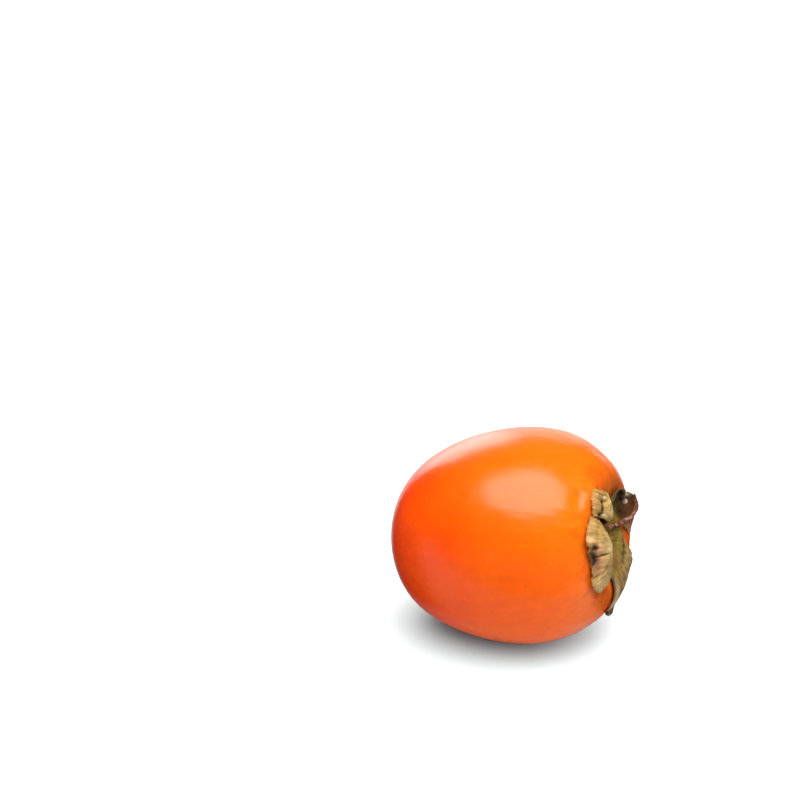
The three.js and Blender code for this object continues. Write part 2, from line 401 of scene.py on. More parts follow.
def newMaterial(name):
    material = bpy.data.materials.new(name)
    material.use_nodes = True
    return material, material.node_tree, material.node_tree.nodes["Principled BSDF"]


# Object coordinates turned into the fruit's frame, in millimetres.
def fruitCoordinates(tree):
    place = addNode(tree, "ShaderNodeTexCoord")
    inputs = {
        "Vector": place.outputs["Object"],
        "Scale": (1 / mm,) * 3,
        "Rotation": (0, tilt, 0),
        "Location": tuple(-middle @ tiltRows),
    }
    return addNode(tree, "ShaderNodeMapping", inputs, vector_type="POINT").outputs[0]


skinLook = {
    "colours": [                # along the core, blossom end first
        (0.00, "de2a02"), (0.10, "e83c03"), (0.36, "f24e03"),
        (0.60, "f45a04"), (0.80, "f46004"), (1.00, "f26a0c"),
    ],
    "coreEnds": (-43, 35),      # the colours run between these places along the core
    "cloudShift": 0.10,         # clouds move them by so much of the core's length
    "mottleShade": (0.94, 1.05),
    "streakShade": (0.96, 1.04),
    "calyxFrom": (28, 30),      # the collar and the hollow lie past here along the core
    "collarBrownAndShadeColour": "b04e14",   # browner skin close round the calyx: partly dried skin, partly painted shade from the calyx
    "collarRadii": (27, 21),    #   none at the first radius, full at the second
    "collarWander": 2.5,
    "collarBrownAndShadeShare": 0.60,
    "hollowColour": "e88a2c",   # paler, drier skin round the seat of the calyx
    "hollowRadii": (19, 10),
    "hollowShare": 0.75,
    "lenticelColour": "ffa03c",
    "lenticelShare": 0.22,
    "fleckColour": "a8380a",
    "fleckShare": 0.55,
    "roughness": (0.19, 0.27),
    "fleckRoughness": 0.3,
    "poreRelief": 0.6,
    "streakRelief": 14.0,
    "reliefStrength": 0.16,
    "reliefDepth": 0.00005,     # metres
    "ior": 1.37,
    "subsurface": 0.10,
    "subsurfaceRadius": (1.0, 0.22, 0.04),
    "subsurfaceScale": 0.0022,  # metres
}


# Waxy skin: a colour ramp along the core, broad clouds and streaks towards the calyx, a browner collar round
# the calyx that is partly dried skin and partly painted shade, pale lenticels, rare brown flecks, and a faint
# relief of pores and streaks.
def skinMaterial():
    material, tree, shader = newMaterial("persimmonSkin")
    look = skinLook
    place = fruitCoordinates(tree)
    along = addNode(tree, "ShaderNodeSeparateXYZ", {0: place}).outputs[0]
    cloud = noiseNode(tree, place, 0.05, detail=4)
    streak = noiseNode(tree, stretch(tree, place, (0.05, 0.42, 0.42)), 1.0, detail=4, roughness=0.6)
    mottle = noiseNode(tree, place, 0.33, detail=5, roughness=0.62)
    clouded = mapRange(tree, cloud, 0.3, 0.7, -look["cloudShift"], look["cloudShift"])
    position = calculate(tree, "ADD", mapRange(tree, along, *look["coreEnds"], 0, 1), clouded)
    colour = colourRamp(tree, position, look["colours"])
    shade = calculate(tree, "MULTIPLY", mapRange(tree, mottle, 0.25, 0.75, *look["mottleShade"]),
                      mapRange(tree, streak, 0.3, 0.7, *look["streakShade"]))
    colour = mixColour(tree, "MULTIPLY", 1.0, colour, shade)
    across = addNode(tree, "ShaderNodeVectorMath", {0: place, 1: (0, 1, 1)}, operation="MULTIPLY").outputs[0]
    radius = addNode(tree, "ShaderNodeVectorMath", {0: across}, operation="LENGTH").outputs["Value"]
    nearCalyx = mapRange(tree, along, *look["calyxFrom"], 0, 1)
    wander = mapRange(tree, mottle, 0.3, 0.7, -look["collarWander"], look["collarWander"])
    uneven = calculate(tree, "ADD", radius, wander)
    # Painted shade: the collar darkens the skin close round the calyx, where the lobes would shade it, over
    # browner dried skin.
    collar = mapRange(tree, uneven, *look["collarRadii"], 0, look["collarBrownAndShadeShare"])
    colour = layOver(tree, colour, calculate(tree, "MULTIPLY", collar, nearCalyx), look["collarBrownAndShadeColour"])
    hollow = mapRange(tree, radius, *look["hollowRadii"], 0, look["hollowShare"])
    colour = layOver(tree, colour, calculate(tree, "MULTIPLY", hollow, nearCalyx), look["hollowColour"])
    dots = addNode(tree, "ShaderNodeTexVoronoi", {"Vector": place, "Scale": 0.62, "Randomness": 1.0})
    cell = addNode(tree, "ShaderNodeSeparateColor", {0: dots.outputs["Color"]}).outputs[0]
    dot = mapRange(tree, dots.outputs["Distance"], 0.16, 0.07, 0, look["lenticelShare"])
    lenticel = calculate(tree, "MULTIPLY", dot, mapRange(tree, cell, 0.45, 0.5, 0, 1))
    colour = layOver(tree, colour, lenticel, look["lenticelColour"])
    scuffs = noiseNode(tree, stretch(tree, place, (0.5, 1.1, 1.1)), 1.0, detail=2)
    fleck = mapRange(tree, scuffs, 0.765, 0.80, 0, look["fleckShare"])
    colour = layOver(tree, colour, fleck, look["fleckColour"])
    wax = mapRange(tree, mottle, 0.3, 0.7, *look["roughness"])
    rough = calculate(tree, "ADD", wax, calculate(tree, "MULTIPLY", fleck, look["fleckRoughness"]))
    pores = noiseNode(tree, place, 2.2, detail=3)
    relief = calculate(tree, "SUBTRACT", calculate(tree, "MULTIPLY", pores, look["poreRelief"]), lenticel)
    relief = calculate(tree, "ADD", relief, calculate(tree, "MULTIPLY", streak, look["streakRelief"]))
    setInputs(tree, shader, {
        "Base Color": colour,
        "Roughness": rough,
        "Normal": bumpNode(tree, relief, look["reliefStrength"], look["reliefDepth"]),
        "IOR": look["ior"],
        "Subsurface Weight": look["subsurface"],
        "Subsurface Radius": look["subsurfaceRadius"],
        "Subsurface Scale": look["subsurfaceScale"],
    })
    return material


leafLook = {
    "veins": (0.60, 1.26),      # darkest and lightest share of the tissue colour
    "grain": (0.80, 1.16),
    "blots": (0.74, 1.14),
    "net": 0.86,                # how dark the fine vein net is
    "spotColour": "54220f",
    "spotShare": 0.75,
    "veinStretch": (2.4, 15, 1),    # along and across the lobe
    "veinRelief": 1.2,
    "grainRelief": 0.5,
    "reliefDepth": 0.0003,      # metres
    "ior": 1.25,
}


# Dry leaf tissue: the tissue attribute gives the broad colour, painted shade in the lobes' dents and cracks
# and in the disc's wrinkles included; long veins fan out with the leaf's own uv, and a fine net, grain and
# brown spots lie over them.
def leafMaterial(name, reliefStrength, roughness):
    material, tree, shader = newMaterial(name)
    look = leafLook
    place = fruitCoordinates(tree)
    tissue = addNode(tree, "ShaderNodeAttribute", attribute_name="tissue").outputs["Color"]
    leaf = stretch(tree, addNode(tree, "ShaderNodeUVMap", uv_map="leaf").outputs[0], look["veinStretch"])
    vein = noiseNode(tree, leaf, 1.6, detail=6, roughness=0.68, distortion=0.5)
    net = addNode(tree, "ShaderNodeTexVoronoi", {"Vector": place, "Scale": 1.5}, feature="DISTANCE_TO_EDGE")
    grain = noiseNode(tree, place, 2.6, detail=6, roughness=0.7)
    blot = noiseNode(tree, place, 0.55, detail=4, roughness=0.6)
    shade = mapRange(tree, net.outputs["Distance"], 0, 0.09, look["net"], 1)
    for value, low, kind in ((vein, 0.3, "veins"), (grain, 0.3, "grain"), (blot, 0.35, "blots")):
        shade = calculate(tree, "MULTIPLY", shade, mapRange(tree, value, low, 0.7, *look[kind]))
    colour = mixColour(tree, "MULTIPLY", 1.0, tissue, shade)
    spot = mapRange(tree, noiseNode(tree, place, 1.9, detail=2), 0.69, 0.73, 0, look["spotShare"])
    veinHeight = calculate(tree, "MULTIPLY", vein, look["veinRelief"])
    relief = calculate(tree, "ADD", veinHeight, calculate(tree, "MULTIPLY", grain, look["grainRelief"]))
    setInputs(tree, shader, {
        "Base Color": layOver(tree, colour, spot, look["spotColour"]),
        "Roughness": roughness,
        "Normal": bumpNode(tree, relief, reliefStrength, look["reliefDepth"]),
        "IOR": look["ior"],
    })
    return material


materials = {
    "skin": skinMaterial(),
    "drySepal": leafMaterial("drySepal", 0.6, 0.72),
    "brownRim": leafMaterial("brownRim", 0.5, 0.6),
    "calyxTissue": leafMaterial("calyxTissue", 0.45, 0.68),
    "cutStem": leafMaterial("cutStem", 0.7, 0.8),
}
print("materials made:", len(materials))


# Fine folds near the calyx: narrow ridges round the core, |sin(n a / 2 + wander)|, that fade in over the
# shoulder, shallow dents, -pinch * noise^2, where the lobes lie, and single puckers,
# height * exp(-(da / width)^2 - (ds / length)^2).
def shoulderFolds(points, share, angle):
    wander = 1.6 * noise(points, 7.0, 5)
    ridges = np.abs(np.sin(fruit["creaseCount"] * angle / 2 + wander * 3)) ** 0.6
    grow = 0.45 * ease(share, *fruit["creaseFrom"]) + 0.55 * ease(share, *fruit["creaseMore"])
    patchy = 0.25 + 0.75 * ease(noise(points, 8.0, 8), -0.2, 0.4)
    folds = fruit["crease"] * ridges * grow * patchy * (1 - ease(share, *fruit["creaseEnd"]))
    onShoulder = ease(share, *fruit["pinchFrom"]) * (1 - ease(share, *fruit["pinchEnd"]))
    dents = fruit["pinch"] * noise(points, 9.0, 12) ** 2 * onShoulder
    azimuth = 180 - np.degrees(angle)
    for at, s, width, length, height in fruit["puckers"]:
        turned = (azimuth - at + 180) % 360 - 180
        folds = folds + height * np.exp(-(turned / width) ** 2 - ((points[..., 0] - s) / length) ** 2)
    return folds - dents


# Skin: the plain skin moved along its normal by broad and fine noise and the folds, then a soft floor under
# it, which leaves a flat spot with a rounded edge.
def buildFruit():
    share, angle = roundGrid(fruit["rings"], fruit["spokes"])
    surface = plainSkin(fruit["rings"], fruit["spokes"])
    wrapped = np.concatenate([surface[:, -1:], surface, surface[:, :1]], axis=1)
    normals = gridNormals(wrapped, "out")[:, 1:-1]
    rise = fruit["lump"] * noise(surface, fruit["lumpSize"], 1)
    rise = rise + fruit["ripple"] * noise(surface, fruit["rippleSize"], 2)
    rise = rise + shoulderFolds(surface, share, angle + 0 * share)
    fade = ease(np.minimum(share, 1 - share), 0.0, 0.03)
    surface = surface + normals * (rise * fade)[..., None]
    up = tiltRows[2]
    height = surface @ up + middle[2]
    surface = surface + (softFloor(height, fruit["flatEdge"]) - height)[..., None] * up
    roundObject("persimmon_skin", surface, materials["skin"], ["fruit_body"])


buildFruit()


# A lobe is stretched over five ribs. Each rib: azimuths at equal steps from the disc to the margin, then six
# [radius, s], of which the first lies inside the disc. tip is the rib the lobe ends on (-1..1) and rounding
# how much shorter the others are. tears: [across, depth, width]; lifts: [along, across, half sizes, height];
# patches: [along, across, half sizes, colour, strength], and a strength above 1 has a flat middle. Some dark
# patches, in dents, cracks and along a margin, are painted shade; their notes say which.
inDisc = [6.0, 32.4]
sepals = {
    "sepal_near_lower": {
        "rows": 130, "columns": 170, "seed": 3, "slot": "dry_sepal",
        "ribs": [
            [[-29, -30, -27], [inDisc, [9.5, 34.2], [12.5, 36.0], [16, 37.7], [20.6, 37.7], [25.6, 35.9]]],
            [[-14, -15, -15], [inDisc, [9.5, 35.0], [12.5, 37.5], [16, 39.0], [21.3, 38.0], [26.8, 34.7]]],
            [[3, 3, 2], [inDisc, [9.5, 35.3], [12.5, 38.1], [16, 39.5], [21.3, 38.5], [25.6, 35.5]]],
            [[17, 18, 20], [inDisc, [9.5, 35.1], [12.5, 37.7], [16, 39.2], [22.2, 37.8], [28.2, 33.7]]],
            [[30, 39, 41], [inDisc, [9.3, 33.6], [12, 34.8], [16, 36.0], [21.8, 35.6], [27.6, 33.3]]],
        ],
        "tip": -0.1, "rounding": 0.08, "ragged": 0.014,
        "tears": [[0.36, 0.035, 0.07], [-0.25, 0.02, 0.05]],
        "wave": 0.40, "waveSize": 4.2, "veins": 0.06, "veinCount": 13, "fold": 0.22,
        "thickness": (1.0, 0.45),
        "lifts": [
            [0.95, 0.47, 0.06, 0.07, 1.5], [0.91, 0.35, 0.045, 0.045, -1.8], [0.86, 0.14, 0.14, 0.035, -0.8],
            [0.97, 0.0, 0.07, 0.13, -1.1], [0.92, -0.32, 0.12, 0.035, -0.6], [0.94, -0.50, 0.08, 0.10, 0.6],
            [0.84, 0.62, 0.03, 0.12, -0.4], [0.70, 0.05, 0.05, 0.35, 0.4], [0.90, 0.80, 0.05, 0.08, 0.5],
        ],
        "colours": ("a88a44", "c09c5a", "9a6c3c"),
        "patches": [
            [0.86, 0.75, 0.20, 0.30, "b8924c", 0.8],
            [1.0, 0.66, 0.05, 0.10, "e0a878", 0.6],
            [0.66, 0.25, 0.08, 0.35, "e2c490", 0.85],
            [0.90, -0.02, 0.13, 0.30, "d09468", 0.9],
            [0.97, 0.47, 0.06, 0.065, "f4b484", 1.0],
            # Painted shade: a near-black patch in the dent of the lift at (0.91, 0.35), standing in for a
            # hole in the lobe.
            [0.905, 0.34, 0.028, 0.045, "2a1008", 1.5],
            [0.83, 0.34, 0.035, 0.07, "eaa48c", 0.95],
            [0.86, 0.14, 0.14, 0.020, "4e2c10", 1.4],
            [0.97, 0.11, 0.075, 0.24, "2e2620", 1.3],
            [0.90, -0.28, 0.10, 0.02, "9c4a34", 0.85],
            [0.68, -0.55, 0.10, 0.25, "9a8450", 0.8],
            [0.88, -0.65, 0.20, 0.26, "cca878", 0.9],
            [0.78, -0.22, 0.04, 0.05, "6e5228", 0.7],
        ],
    },
    "sepal_near_upper": {
        "rows": 130, "columns": 150, "seed": 17, "slot": "dry_sepal",
        "ribs": [
            [[42, 43, 38], [inDisc, [9.5, 34], [12.5, 36], [15.5, 37.6], [20.5, 37.4], [24.6, 35.0]]],
            [[49, 51, 44], [inDisc, [9.5, 34.4], [12.5, 37.2], [15.7, 38.9], [21, 38.0], [25.3, 34.7]]],
            [[57, 60, 50], [inDisc, [9.5, 34.3], [12.5, 37.0], [16, 38.7], [21.2, 37.6], [25.7, 34.2]]],
            [[66, 71, 56], [inDisc, [9.5, 33.9], [12.5, 36.0], [16.4, 37.7], [21.0, 36.9], [25.8, 33.8]]],
            [[78, 83, 62], [inDisc, [9.3, 33.3], [12.5, 34.5], [16.6, 36.0], [20.6, 35.4], [25.4, 33.8]]],
        ],
        "tip": 0.0, "rounding": 0.02, "ragged": 0.014,
        "tears": [],
        "wave": 0.40, "waveSize": 3.6, "veins": 0.05, "veinCount": 7, "fold": 0.22,
        "thickness": (0.9, 0.45),
        "lifts": [
            [0.82, 0.16, 0.05, 0.20, -1.6], [0.79, -0.30, 0.055, 0.26, -1.8], [0.82, -0.85, 0.08, 0.28, -2.2],
            [0.75, -0.80, 0.045, 0.14, 0.7], [0.95, 0.1, 0.05, 0.6, 0.9], [0.72, 0.15, 0.04, 0.35, 0.7],
            [0.86, 0.62, 0.07, 0.12, -0.7],
        ],
        "colours": ("8a7430", "b89250", "a4683a"),
        "patches": [
            [0.55, 0.1, 0.14, 1.2, "a89440", 0.9],
            [0.65, 0.10, 0.06, 0.9, "dec084", 0.9],
            [0.96, 0.10, 0.08, 0.70, "bc8a50", 0.9],
            [0.86, 0.58, 0.07, 0.16, "6a5014", 0.9],
            # Painted shade: these three near-black patches lie in the grooves of the lifts at (0.82, 0.16),
            # (0.79, -0.30) and (0.82, -0.85) and paint the cracks dark as open cracks in shade.
            [0.81, 0.10, 0.035, 0.18, "2e140a", 1.7],
            [0.80, -0.32, 0.045, 0.24, "34180c", 1.5],
            [0.83, -0.85, 0.075, 0.24, "2a1208", 1.6],
            [0.75, -0.85, 0.04, 0.14, "dcc094", 1.0],
            [0.82, 0.42, 0.025, 0.07, "ecc8a4", 1.0],
        ],
    },
    "sepal_far_upper": {
        "rows": 130, "columns": 160, "seed": 29, "slot": "dry_sepal_brown",
        "ribs": [
            [[176, 180, 164], [inDisc, [9.5, 33.6], [13, 34.9], [16.2, 36.2], [19.0, 37.6], [20.9, 38.6]]],
            [[160, 160, 152], [inDisc, [9.5, 33.0], [12.5, 34.0], [15.5, 35.6], [18.6, 37.3], [20.3, 38.5]]],
            [[142, 143, 141], [inDisc, [9.5, 32.7], [12, 33.6], [15, 35.3], [17.3, 36.9], [18.6, 37.9]]],
            [[124, 124, 128], [inDisc, [9.4, 32.8], [12, 33.8], [14.5, 35], [16.6, 36.4], [17.9, 37.2]]],
            [[102, 103, 110], [inDisc, [9.2, 33], [11.5, 34.2], [13.8, 35.6], [15.8, 36.8], [17.0, 37.3]]],
        ],
        "tip": -0.3, "rounding": 0.05, "ragged": 0.035,
        "tears": [[0.1, 0.1, 0.07], [0.6, 0.07, 0.05]],
        "wave": 0.45, "waveSize": 4.5, "veins": 0.12, "veinCount": 12, "fold": 0.2,
        "thickness": (0.9, 0.4),
        "lifts": [
            [0.72, -0.24, 0.05, 0.12, 1.0], [0.78, 0.42, 0.10, 0.22, -1.6], [0.45, -0.6, 0.08, 0.2, -1.0],
            [0.84, 0.08, 0.04, 0.30, 1.0], [0.60, 0.80, 0.25, 0.08, 0.8], [0.68, 0.05, 0.06, 0.12, -1.4],
        ],
        "colours": ("8a6a2c", "553418", "8d6a4c"),
        "patches": [
            # Partly dark dried tissue, partly painted shade: the darkest patches lie in the cupped middle and
            # in the dents of the lifts at (0.78, 0.42), (0.45, -0.6) and (0.68, 0.05).
            [0.62, 0.30, 0.28, 0.70, "3c2c12", 0.95],
            [0.80, 0.42, 0.12, 0.26, "26180a", 1.5],
            [0.46, -0.50, 0.16, 0.36, "34240c", 1.2],
            [0.25, -0.40, 0.16, 0.45, "a07c38", 0.9],
            [0.66, -0.60, 0.14, 0.22, "6e4024", 0.9],
            [0.93, -0.06, 0.08, 0.22, "a89c74", 1.0],
            [0.68, 0.06, 0.06, 0.13, "2c1408", 1.5],
            [0.72, -0.22, 0.045, 0.12, "f6d8bc", 1.0],
            [0.56, 0.95, 0.30, 0.14, "7c744c", 0.9],
            [0.98, 0.60, 0.08, 0.30, "6c6844", 0.9],
        ],
    },
    "flap": {                   # torn strip that hangs below the rim of sepal_far_upper
        "rows": 60, "columns": 90, "seed": 8, "slot": "dry_sepal",
        "ribs": [
            [[177, 181, 185],
             [[12.6, 35.5], [12.8, 35.5], [13.0, 35.4], [13.3, 35.3], [13.6, 35.2], [14.0, 35.1]]],
            [[177, 185, 192],
             [[14.8, 36.0], [15.1, 36.2], [15.4, 36.1], [15.7, 35.9], [16.0, 35.6], [16.3, 35.3]]],
            [[176, 187, 197],
             [[16.8, 36.5], [17.2, 36.7], [17.5, 36.5], [17.8, 36.2], [18.1, 35.8], [18.4, 35.3]]],
            [[175, 186, 196],
             [[18.5, 37.1], [18.9, 37.1], [19.2, 36.8], [19.5, 36.3], [19.8, 35.7], [20.1, 35.0]]],
            [[172, 180, 187],
             [[19.8, 37.9], [20.2, 37.6], [20.6, 37.1], [20.9, 36.4], [21.2, 35.6], [21.5, 34.8]]],
        ],
        "tip": 0.1, "rounding": 0.2, "ragged": 0.05,
        "tears": [[-0.4, 0.2, 0.12], [0.5, 0.25, 0.10]],
        "wave": 0.35, "waveSize": 3.0, "veins": 0.05, "veinCount": 7, "fold": 0.2,
        "thickness": (0.6, 0.35),
        "lifts": [],
        "colours": ("8a5c3c", "b48a60", "d0a880"),
        "patches": [],
    },
    "sepal_far_lower": {
        "rows": 140, "columns": 200, "seed": 41, "slot": "dry_sepal",
        "ribs": [
            [[-184, -186, -187, -181, -157, -150, -148, -145, -140],
             [inDisc, [9.5, 33.8], [12.5, 34.8], [15.5, 36.0], [18.6, 36.6], [21.5, 36.0]]],
            [[-147, -147, -140, -133, -126],
             [inDisc, [9.5, 33.6], [12.8, 35.2], [16.3, 36.5], [20.5, 36.4], [24.2, 34.5]]],
            [[-118, -116, -113, -110, -107],
             [inDisc, [9.5, 33.6], [12.8, 35.1], [17.2, 36.2], [21.6, 35.2], [25, 32.8]]],
            [[-92, -91, -90, -88, -86],
             [inDisc, [9.5, 33.6], [12.8, 35.0], [17.3, 35.9], [21.6, 34.7], [25.4, 32.5]]],
            [[-66, -67, -68, -66, -62],
             [inDisc, [9.3, 33.4], [12.5, 35.1], [17, 36.3], [21.2, 35.6], [24.8, 33.0]]],
        ],
        "tip": 0.5, "rounding": 0.12, "ragged": 0.035,
        "tears": [
            [-0.35, 0.08, 0.05], [-0.7, 0.06, 0.05], [-0.1, 0.06, 0.04],
            [0.15, 0.05, 0.03], [0.7, 0.08, 0.05],
        ],
        "wave": 0.4, "waveSize": 5.0, "veins": 0.14, "veinCount": 22, "fold": 0.18,
        "thickness": (0.9, 0.4),
        "lifts": [
            [0.49, -0.6, 0.04, 0.5, -0.9], [0.85, 0.62, 0.12, 0.10, -0.9], [0.60, -0.4, 0.05, 0.5, 0.5],
            [0.82, 0.86, 0.14, 0.10, 0.8], [0.72, 0.30, 0.20, 0.08, -0.7], [0.70, 0.02, 0.22, 0.07, 0.6],
            [0.74, -0.30, 0.20, 0.05, -0.6], [0.80, -0.62, 0.14, 0.05, 0.6],
        ],
        "colours": ("947a32", "ac8854", "8a6248"),
        "patches": [
            # Painted shade: a dark strip along the groove of the lift at (0.49, -0.6), the shade on the fold.
            [0.49, -0.60, 0.045, 0.55, "4c3420", 1.0],
            [0.30, 0.25, 0.10, 0.40, "8a5632", 0.8],
            [0.70, -0.45, 0.10, 0.35, "b8966c", 0.85],
            [0.97, -0.45, 0.07, 0.50, "ccb494", 0.9],
            [0.82, -0.25, 0.04, 0.35, "7c5c40", 0.8],
            [0.60, 0.20, 0.08, 0.30, "84603a", 0.8],
            [0.75, 0.65, 0.16, 0.28, "d0b48c", 0.95],
            [0.74, 0.30, 0.16, 0.05, "5e4028", 0.8],
            [0.84, 0.40, 0.16, 0.06, "5e4028", 0.7],
            [0.86, 0.86, 0.06, 0.09, "f4cabc", 1.0],
            # Painted shadow: a near-black strip along the v = 1 margin, where the lobe lies close over the
            # skin.
            [0.58, 1.0, 0.18, 0.07, "3a1e10", 1.5],
            [1.0, 0.60, 0.06, 0.35, "3a2016", 0.9],
        ],
    },
}


# Colour over a lobe, tissue and painted shade: disc colour to outer colour along it, dried brown within a
# share of the margin, and every patch mixed in by strength * exp(-(du/a)^2 - (dv/b)^2), at most 1, with a
# frayed outline. Some patches, in dents, cracks and along a margin, are painted shade.
def tissueAndShadeColour(lobe, surface, u, v, edge):
    inner, outer, margin = (tone(c) for c in lobe["colours"])
    colour = blendTone(inner, outer, ease(u, 0.2, 0.9))
    frayU = u + 0.05 * noise(surface, 2.2, lobe["seed"] + 7, 3)
    frayV = v + 0.10 * noise(surface, 2.2, lobe["seed"] + 8, 3)
    for along, across, a, b, code, strength in lobe["patches"]:
        share = strength * np.exp(-((frayU - along) / a) ** 2 - ((frayV - across) / b) ** 2)
        colour = blendTone(colour, tone(code), share)
    return blendTone(colour, margin, 0.75 * np.exp(-edge / 0.02))


# Closed leaf from its middle surface: the two faces are half a thickness off it along the normal, and every
# open edge is joined to its partner on the other face.
def closedLeaf(surface, thickness):
    half = gridNormals(surface, "calyx") * thickness[..., None] / 2
    rows, columns = surface.shape[:2]
    count = rows * columns
    points = np.vstack([(surface + half).reshape(-1, 3), (surface - half).reshape(-1, 3)])
    quads = gridFaces(rows, columns)
    a = quads.ravel()
    b = np.roll(quads, -1, axis=1).ravel()
    isOpen = ~np.isin(a * count + b, b * count + a)
    a, b = a[isOpen], b[isOpen]
    return points, np.vstack([quads, quads[:, ::-1] + count, np.stack([b, a, a + count, b + count], axis=-1)])


# Middle surface of a lobe. u runs 0..1 from the disc to the margin, v -1..1 between the side margins:
# reach = u * (1 - rounding |(v - tip) / (1 + |tip|)|^2.2 - ragged noise - tears), then Catmull-Rom
# along every rib at reach and across the ribs at (v + 1) / 2.
def lobeSurface(lobe, u, v):
    offset = np.abs((v - lobe["tip"]) / (1 + abs(lobe["tip"])))
    edgeLine = np.stack([v * 9, 0 * v, 0 * v], axis=-1)
    short = lobe["rounding"] * offset**2.2 + lobe["ragged"] * (1 + noise(edgeLine, 1.0, lobe["seed"], 3))
    for across, depth, width in lobe["tears"]:
        short = short + depth * np.clip(1 - np.abs(v - across) / width, 0, 1) ** 0.7
    reach = u * (1 - short)
    sideLine = np.stack([u * 7, np.sign(v) * 5, 0 * v], axis=-1)
    side = 1 - 0.05 * (1 + noise(sideLine, 1.0, lobe["seed"] + 1, 3)) * np.abs(v) ** 3
    radiusAndS = np.stack([catmull(points, reach) for _, points in lobe["ribs"]])
    azimuths = np.stack([catmull(angles, reach) for angles, _ in lobe["ribs"]])
    net = np.concatenate([radiusAndS, azimuths[..., None]], axis=-1)
    net = catmull(net, (v * side + 1) / 2, ownKnots=True)
    return onFruit(net[..., 2], net[..., 0], net[..., 1])


# Wrinkles of a lobe, as a rise along its normal: veins wander along it, wave * noise and fold * |noise|
# grow towards the margin, and each lift adds height * exp(-(du/a)^2 - (dv/b)^2).
def lobeWrinkles(lobe, surface, u, v):
    grow = 0.25 + 0.75 * u**1.5
    wander = 0.8 * noise(surface, 5.0, lobe["seed"] + 2)
    veins = np.abs(np.sin(math.pi * lobe["veinCount"] * (v + 0.04 * wander) / 2)) ** 0.7 - 0.6
    rise = lobe["veins"] * veins * (0.4 + 0.6 * u)
    rise = rise + lobe["wave"] * grow * noise(surface, lobe["waveSize"], lobe["seed"] + 3)
    rise = rise - lobe["fold"] * grow * np.abs(noise(surface, lobe["waveSize"] / 2.5, lobe["seed"] + 4))
    rise = rise + 0.06 * noise(surface, 0.8, lobe["seed"] + 5)
    for along, across, a, b, height in lobe["lifts"]:
        rise = rise + height * np.exp(-((u - along) / a) ** 2 - ((v - across) / b) ** 2)
    return rise


lobeGap = 0.25                  # between a lobe and the skin under it


# A lobe: its middle surface with its wrinkles, kept off the skin and given its thickness, which runs from
# thick at the disc to thin and is drawn in along the margins.
def buildSepal(name, lobe):
    u, v = np.meshgrid(np.linspace(0, 1, lobe["rows"]), np.linspace(-1, 1, lobe["columns"]), indexing="ij")
    surface = lobeSurface(lobe, u, v)
    rise = lobeWrinkles(lobe, surface, u, v)
    surface = surface + gridNormals(surface, "calyx") * rise[..., None]
    thick, thin = lobe["thickness"]
    edge = np.minimum(1 - u, (1 - np.abs(v)) * 0.5)
    thickness = (thick + (thin - thick) * ease(u, 0.1, 0.8)) * (0.35 + 0.65 * ease(edge, 0, 0.03))
    surface = clearOfSkin(surface, lobeGap + thick / 2)
    points, quads = closedLeaf(surface, thickness)
    uv = np.tile(np.stack([u.ravel(), v.ravel() / 2 + 0.5], axis=-1), (2, 1))
    colour = np.tile(tissueAndShadeColour(lobe, surface, u, v, edge).reshape(-1, 3), (2, 1))
    nodes = [name] if name in frame["nodes"] else []    # the flap has no CAD node of its own
    meshObject(name + "_leaf", points, quads, noTriangles, materials["drySepal"], nodes,
               uv=uv, colour=colour)


for name, lobe in sepals.items():
    buildSepal(name, lobe)


# Margins rolled up like a cord. path: [azimuth, radius, s]; radii: at equal steps along it.
rims = {
    "sepal_far_upper_rim": {
        "path": [
            [72, 4.6, 34.3], [110, 3.9, 34.6], [155.6, 5.8, 34.7], [169, 8.8, 35.0], [174.4, 11.7, 35.5],
            [177, 14.8, 36.0], [177, 17.2, 36.6], [175, 18.9, 37.2], [171.5, 20.0, 38.0], [166, 20.4, 38.5],
            [159, 20.2, 38.6], [151, 20.4, 38.9],
        ],
        "radii": [0.2, 0.44, 0.58, 0.66, 0.72, 0.76, 0.80, 0.84, 0.82, 0.74, 0.55, 0.08],
        "colours": ("5e3222", "a4684c", "c8948a"),
        "rows": 170, "columns": 48, "twist": 2.6, "ridges": 5, "slot": "dry_sepal_brown", "seed": 7,
    },
    "sepal_far_lower_rim": {
        "path": [
            [-93, 24.4, 33.6], [-87, 25.2, 33.3], [-81, 25.6, 33.3], [-75, 25.4, 33.7], [-69, 25.0, 33.9],
            [-64, 24.4, 33.8],
        ],
        "radii": [0.2, 0.6, 0.85, 0.85, 0.6, 0.15],
        "colours": ("3a2016", "84604a", "e8c0a8"),
        "rows": 170, "columns": 48, "twist": 1.0, "ridges": 4, "slot": "dry_sepal", "seed": 13,
    },
}


